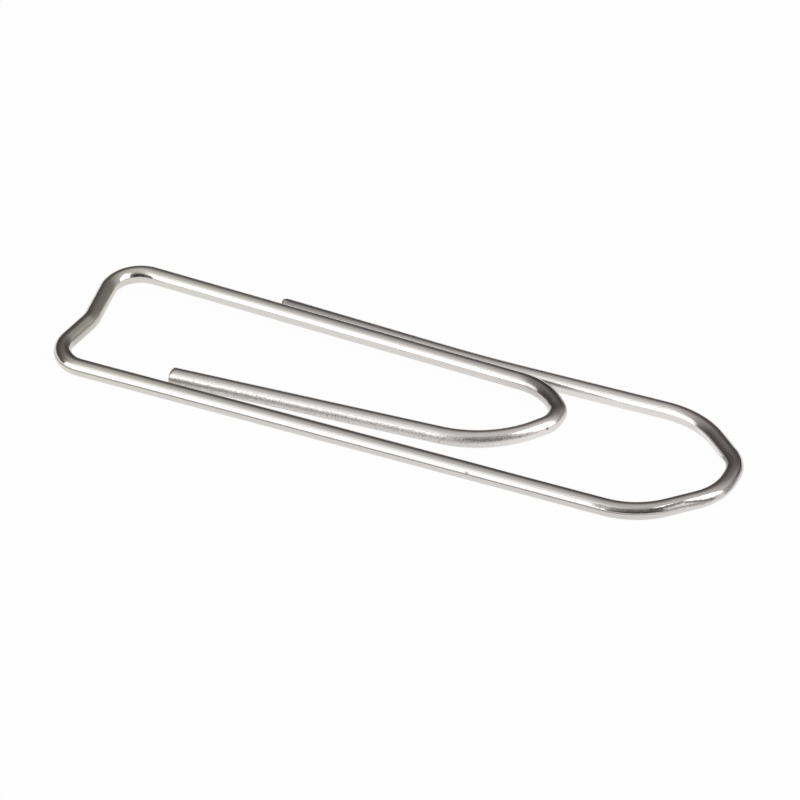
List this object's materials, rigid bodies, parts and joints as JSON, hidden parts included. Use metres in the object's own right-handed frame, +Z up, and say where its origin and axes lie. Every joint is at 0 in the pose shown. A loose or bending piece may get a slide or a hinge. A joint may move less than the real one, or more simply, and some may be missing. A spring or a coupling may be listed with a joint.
{
  "type": "paper clip",
  "caption": "Pointed paper clip with a notched end, bent from round plated wire: a flat outer loop and a sprung inner tongue that parts from it to grip sheets of paper.",
  "frame": {"origin": "under the middle of the clip's box, on the plane that the clip lies on", "axes": "+X along the legs towards the point, +Y across the clip from the long outer leg to the free outer leg, +Z up from the plane it lies on"},
  "size_m": [0.0318, 0.0088, 0.0012],
  "materials": {
    "plated_wire": "bright zinc plating over drawn round steel wire, with faint lengthwise draw lines"
  },
  "bodies": {
    "outer_frame": {"outer_long_leg": "plated_wire", "outer_point_lower": "plated_wire", "notch_lower": "plated_wire"},
    "outer_arm": {"outer_point_upper": "plated_wire", "outer_free_leg": "plated_wire"},
    "tongue": {"notch_upper": "plated_wire", "inner_long_leg": "plated_wire", "inner_point_upper": "plated_wire"},
    "tongue_arm": {"inner_point_lower": "plated_wire", "inner_free_leg": "plated_wire"}
  },
  "joints": [
    {"name": "tongue_lift", "type": "hinge", "parent": "outer_frame", "child": "tongue", "pos_m": [-0.01522, -0.00068, 0.00056], "axis": [0, -1, 0], "range_deg": [0, 10], "stiffness_Nm_per_rad": 0.22},
    {"name": "outer_arm_flex", "type": "hinge", "parent": "outer_frame", "child": "outer_arm", "pos_m": [0.01552, 0.00012, 0.0004], "axis": [0, 1, 0], "range_deg": [0, 8], "stiffness_Nm_per_rad": 0.2},
    {"name": "tongue_arm_flex", "type": "hinge", "parent": "tongue", "child": "tongue_arm", "pos_m": [0.00691, 0.00087, 0.00065], "axis": [0, 1, 0], "range_deg": [0, 7], "stiffness_Nm_per_rad": 0.28}
  ]
}
